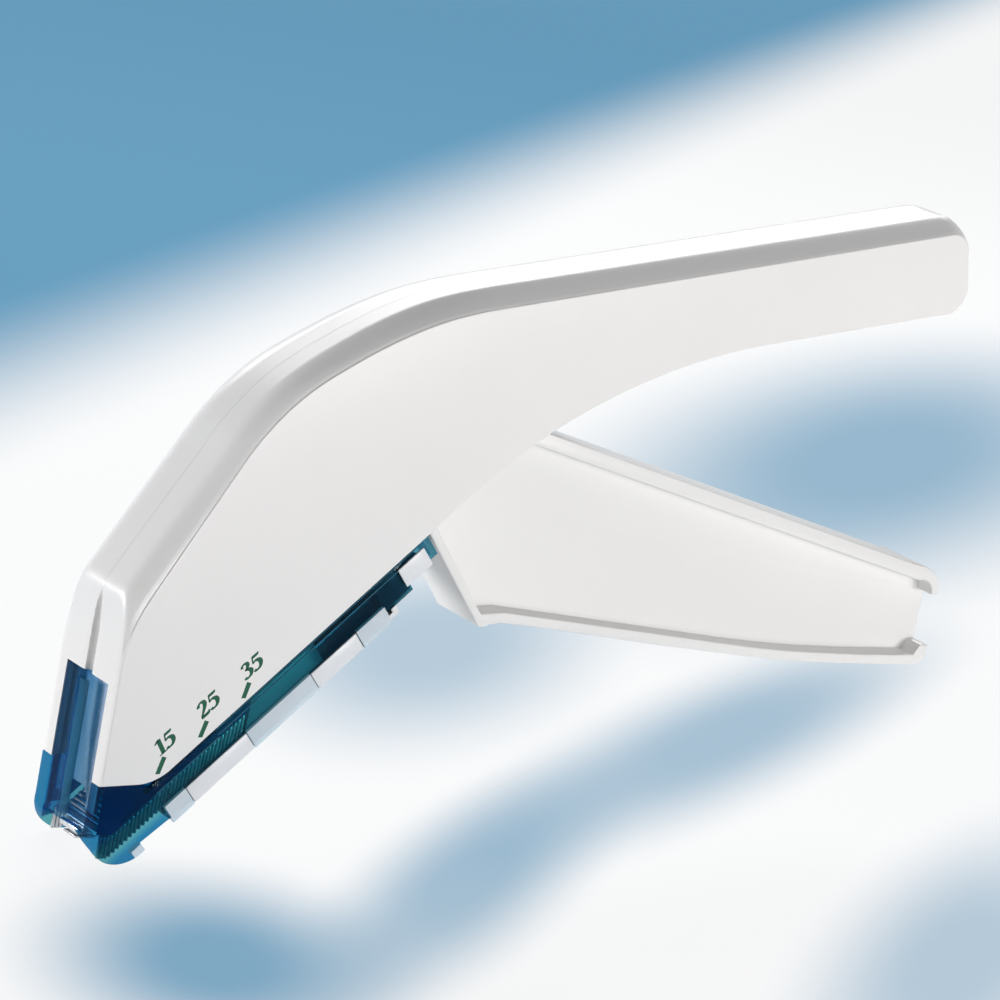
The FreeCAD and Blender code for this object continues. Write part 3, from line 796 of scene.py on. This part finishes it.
# Each stroke is a list of (across, up, width) points, for a numeral one unit high.
GLYPHS = {
    "1": (0.50, [
        [(0.30, 0.02, 0.19), (0.30, 0.96, 0.19)],
        [(0.04, 0.80, 0.05), (0.16, 0.87, 0.10), (0.32, 0.97, 0.06)],
        [(0.06, 0.03, 0.06), (0.54, 0.03, 0.06)],
    ]),
    "2": (0.60, [
        [(0.10, 0.72, 0.16), (0.12, 0.84, 0.13), (0.27, 0.95, 0.10), (0.42, 0.88, 0.17), (0.46, 0.72, 0.20),
         (0.38, 0.52, 0.17), (0.22, 0.30, 0.12), (0.07, 0.10, 0.07)],
        [(0.05, 0.08, 0.16), (0.45, 0.08, 0.16), (0.55, 0.22, 0.06)],
    ]),
    "3": (0.58, [
        [(0.09, 0.78, 0.14), (0.14, 0.90, 0.11), (0.27, 0.95, 0.10), (0.41, 0.87, 0.16), (0.42, 0.72, 0.18),
         (0.32, 0.60, 0.12), (0.20, 0.56, 0.07)],
        [(0.20, 0.56, 0.07), (0.38, 0.50, 0.14), (0.49, 0.32, 0.20), (0.41, 0.12, 0.16), (0.24, 0.05, 0.10),
         (0.11, 0.08, 0.13), (0.07, 0.16, 0.15)],
    ]),
    "5": (0.58, [
        [(0.16, 0.91, 0.14), (0.47, 0.91, 0.14), (0.53, 1.0, 0.04)],
        [(0.17, 0.96, 0.06), (0.13, 0.72, 0.07), (0.10, 0.54, 0.07)],
        [(0.10, 0.56, 0.07), (0.28, 0.62, 0.12), (0.46, 0.50, 0.19), (0.49, 0.30, 0.20), (0.39, 0.11, 0.15),
         (0.22, 0.05, 0.10), (0.10, 0.08, 0.13), (0.06, 0.16, 0.14)],
    ]),
}


BOLD = 1.2                      # widens every stroke
MARK_HEIGHT = 2.5
MARK_BROAD = 1.25               # stretches the numerals across
MARK_LEAN = 0.12
TICK_HALF = 0.38
INK_LIFT = 0.004                # height of the ink on the wall


def eased(a, b, c, d, t):
    """Value between b and c at t, on a smooth curve through all four."""
    return 0.5 * (2 * b + (c - a) * t + (2 * a - 5 * b + 4 * c - d) * t * t
                  + (3 * b - a - 3 * c + d) * t ** 3)


def stroke(points):
    """Left and right edges of a brush stroke through (across, up, width) points."""
    steps = 6
    dense = []
    for i in range(len(points) - 1):
        a = points[max(i - 1, 0)]
        b = points[i]
        c = points[i + 1]
        d = points[min(i + 2, len(points) - 1)]
        for j in range(steps):
            t = j / steps
            dense.append(tuple(eased(a[k], b[k], c[k], d[k], t) for k in range(3)))
    dense.append(points[-1])
    left = []
    right = []
    for i, (x, y, w) in enumerate(dense):
        a = dense[max(i - 1, 0)]
        b = dense[min(i + 1, len(dense) - 1)]
        d = math.dist(a[:2], b[:2]) or 1.0
        nx = -(b[1] - a[1]) / d * w * BOLD / 2
        ny = (b[0] - a[0]) / d * w * BOLD / 2
        left.append((x + nx, y + ny))
        right.append((x - nx, y - ny))
    return left, right


def count_mark(text, centre, top, foot, side):
    """A printed number and its tick, from top to foot, on one side wall."""
    angle = MAG_ANGLE if side < 0 else -MAG_ANGLE
    wide = sum(GLYPHS[g][0] for g in text)
    verts = []
    faces = []

    def lay(left, right):
        base = len(verts)
        verts.extend(left + right)
        n = len(left)
        for i in range(n - 1):
            faces.append((base + i, base + i + 1, base + n + i + 1, base + n + i))

    start = -wide / 2
    for g in text:
        for points in GLYPHS[g][1]:
            left, right = stroke(points)
            placed = []
            for edge in (left, right):
                spun = []
                for x, y in edge:
                    a = ((start + x) * MARK_BROAD + MARK_LEAN * y) * MARK_HEIGHT
                    b = (y - 0.5) * MARK_HEIGHT
                    u = a * math.cos(angle) - b * math.sin(angle)
                    v = a * math.sin(angle) + b * math.cos(angle)
                    spun.append((centre[0] - side * u, centre[1] + v))
                placed.append(spun)
            lay(*placed)
        start += GLYPHS[g][0]
    lay([(top[0] - TICK_HALF, top[1] + 0.1), (foot[0] - TICK_HALF, foot[1])],
        [(top[0] + TICK_HALF, top[1] - 0.1), (foot[0] + TICK_HALF, foot[1])])
    y = side * (HALF + INK_LIFT)
    name = "count_mark_" + text + ("_left" if side < 0 else "_right")
    obj = piece(name, [(x, y, z) for x, z in verts], faces, INK)
    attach(obj, "stapler_body")


# Number, its centre, top and foot of its tick, in X and Z.
MARKS = [
    ("15", (9.3, 17.5), (9.75, 15.5), (9.1, 13.0)),
    ("25", (15.4, 22.8), (15.8, 20.5), (15.15, 18.1)),
    ("35", (21.6, 28.2), (21.8, 25.9), (21.3, 23.6)),
]

for hand in (-1, 1):
    for text, centre, top, foot in MARKS:
        count_mark(text, centre, top, foot, hand)


# camera at the photograph's view

CAMERA_AIM = (0.066201, 0.0, 0.049670)
CAMERA_DISTANCE = 0.620
CAMERA_AZIMUTH = -40.0
CAMERA_ELEVATION = 14.0
CAMERA_ROLL = 11.0
CAMERA_LENS = 154.37


def set_camera():
    """Camera turned about the object by azimuth and elevation, and rolled about its own axis."""
    a = math.radians(CAMERA_AZIMUTH)
    e = math.radians(CAMERA_ELEVATION)
    r = math.radians(CAMERA_ROLL)
    back = Vector((math.sin(a) * math.cos(e), -math.cos(a) * math.cos(e), math.sin(e)))
    right = Vector((math.cos(a), math.sin(a), 0.0))
    up = back.cross(right)
    right_r = right * math.cos(r) + up * math.sin(r)
    up_r = up * math.cos(r) - right * math.sin(r)
    cam = bpy.data.cameras.new("camera")
    cam.sensor_width = 36.0
    cam.lens = CAMERA_LENS
    cam.clip_start = 0.01
    cam.clip_end = 20.0
    obj = bpy.data.objects.new("camera", cam)
    bpy.context.scene.collection.objects.link(obj)
    place = Vector(CAMERA_AIM) + back * CAMERA_DISTANCE
    obj.matrix_world = Matrix((
        (right_r.x, up_r.x, back.x, place.x),
        (right_r.y, up_r.y, back.y, place.y),
        (right_r.z, up_r.z, back.z, place.z),
        (0, 0, 0, 1),
    ))
    bpy.context.scene.camera = obj


set_camera()


# floor, light and backdrop

def area(name, place, aim, size, power):
    """A white area lamp, in metres and watts."""
    light = bpy.data.lights.new(name, "AREA")
    light.shape = "RECTANGLE"
    light.size, light.size_y = size
    light.energy = power
    obj = bpy.data.objects.new(name, light)
    bpy.context.scene.collection.objects.link(obj)
    obj.location = place
    obj.rotation_mode = "QUATERNION"
    obj.rotation_quaternion = (Vector(place) - Vector(aim)).to_track_quat("Z", "Y")


area("key_light", (0.30, 0.50, 0.42), (0.08, 0.0, 0.06), (0.75, 0.24), 3.3)
area("nose_light", (-0.52, 0.32, 0.07), (0.0, 0.0, 0.03), (0.35, 0.12), 3.2)
area("low_light", (0.20, -0.70, 0.075), (0.06, 0.0, 0.04), (0.6, 0.13), 3.7)

# Soft blue patches on the pale floor: centre, half sizes in metres, turn in degrees, strength.
PATCHES = [
    ((0.32, 0.18), (0.22, 0.065), 32.0, 0.8),
    ((0.12, 0.075), (0.09, 0.036), 38.0, 0.6),
    ((0.145, 0.027), (0.13, 0.022), 27.0, 0.7),
    ((0.055, -0.022), (0.085, 0.018), 36.0, 0.7),
    # Painted shadow and reflection of the nose on the floor.
    ((0.0, -0.04), (0.045, 0.032), 45.0, 0.9),
    ((0.115, -0.062), (0.10, 0.024), 35.0, 0.6),
]


def watched(nodes, links):
    """1 for rays from the camera and for what metal and clear plastic show, 0 for the light itself."""
    path = nodes.new("ShaderNodeLightPath")
    total = path.outputs["Is Camera Ray"]
    for name in ("Is Glossy Ray", "Is Transmission Ray"):
        node = nodes.new("ShaderNodeMath")
        node.operation = "MAXIMUM"
        links.new(total, node.inputs[0])
        links.new(path.outputs[name], node.inputs[1])
        total = node.outputs[0]
    return total


PALE_FLOOR = (0.98, 0.985, 0.99, 1.0)
BLUE_FIELD = (0.135, 0.34, 0.52, 1.0)
FIELD_TOWARDS = (-0.584, 0.811, 0.0)    # direction in which the floor turns blue
FIELD_EDGE = (0.08, 0.145)      # where the field's soft edge starts and ends that way, in metres
BLUE_PATCH = (0.14, 0.35, 0.53, 1.0)


def floor_color(nodes, links):
    """Pale floor with a broad blue field at the back left and soft blue patches, one of which is a painted
    shadow and reflection of the nose.
    """
    coord = nodes.new("ShaderNodeTexCoord")
    slope = nodes.new("ShaderNodeVectorMath")
    slope.operation = "DOT_PRODUCT"
    links.new(coord.outputs["Object"], slope.inputs[0])
    slope.inputs[1].default_value = FIELD_TOWARDS
    reach = nodes.new("ShaderNodeMapRange")
    reach.interpolation_type = "SMOOTHSTEP"
    links.new(slope.outputs["Value"], reach.inputs["Value"])
    reach.inputs["From Min"].default_value = FIELD_EDGE[0]
    reach.inputs["From Max"].default_value = FIELD_EDGE[1]
    color = mixed(nodes, links, reach.outputs["Result"], PALE_FLOOR, BLUE_FIELD)
    for centre, half, turn, strength in PATCHES:
        mapping = nodes.new("ShaderNodeMapping")
        mapping.vector_type = "TEXTURE"
        mapping.inputs["Location"].default_value = (centre[0], centre[1], 0.0)
        mapping.inputs["Rotation"].default_value = (0.0, 0.0, math.radians(turn))
        mapping.inputs["Scale"].default_value = (half[0], half[1], 1.0)
        links.new(coord.outputs["Object"], mapping.inputs["Vector"])
        fade = nodes.new("ShaderNodeTexGradient")
        fade.gradient_type = "SPHERICAL"
        links.new(mapping.outputs["Vector"], fade.inputs["Vector"])
        share = ramp(nodes, links, fade.outputs["Fac"], [(0.0, grey(0.0)), (0.85, grey(strength))])
        share.color_ramp.interpolation = "EASE"
        color = mixed(nodes, links, share.outputs["Color"], color, BLUE_PATCH)
    return color


FLOOR_HALF = 3.0
FLOOR_DROP = 0.0003
FLOOR_GLOW = 0.9                # share of its colour that the camera sees whatever the light


def lay_floor():
    """The floor, seen mostly in its own colour and lit a little, so that it keeps the object's shadow."""
    mesh = bpy.data.meshes.new("floor")
    s = FLOOR_HALF
    z = -FLOOR_DROP
    mesh.from_pydata([(-s, -s, z), (s, -s, z), (s, s, z), (-s, s, z)], [], [(0, 1, 2, 3)])
    floor = bpy.data.objects.new("floor", mesh)
    bpy.context.scene.collection.objects.link(floor)
    mat, nodes, links, shader = new_material("floor_pale")
    color = floor_color(nodes, links)
    links.new(color, shader.inputs["Base Color"])
    shader.inputs["Roughness"].default_value = 0.4
    shader.inputs["Specular IOR Level"].default_value = 0.15
    glow = nodes.new("ShaderNodeEmission")
    links.new(color, glow.inputs["Color"])
    share = nodes.new("ShaderNodeMath")
    share.operation = "MULTIPLY"
    links.new(watched(nodes, links), share.inputs[0])
    share.inputs[1].default_value = FLOOR_GLOW
    surface = blended(nodes, links, share.outputs[0], shader.outputs[0], glow.outputs[0])
    links.new(surface, nodes["Material Output"].inputs["Surface"])
    mesh.materials.append(mat)


def hang_world():
    """A faint even light on the object, and a pale backdrop for what the camera and gloss see."""
    world = bpy.data.worlds.new("studio")
    bpy.context.scene.world = world
    world.use_nodes = True
    nodes = world.node_tree.nodes
    links = world.node_tree.links
    back = nodes["Background"]
    back.inputs["Color"].default_value = (0.92, 0.95, 1.0, 1.0)
    back.inputs["Strength"].default_value = 0.09
    pale = nodes.new("ShaderNodeBackground")
    pale.inputs["Color"].default_value = (0.93, 0.96, 1.0, 1.0)
    pale.inputs["Strength"].default_value = 0.85
    surface = blended(nodes, links, watched(nodes, links), back.outputs[0], pale.outputs[0])
    links.new(surface, nodes["World Output"].inputs["Surface"])


lay_floor()
hang_world()
bpy.context.scene.view_settings.view_transform = "Standard"
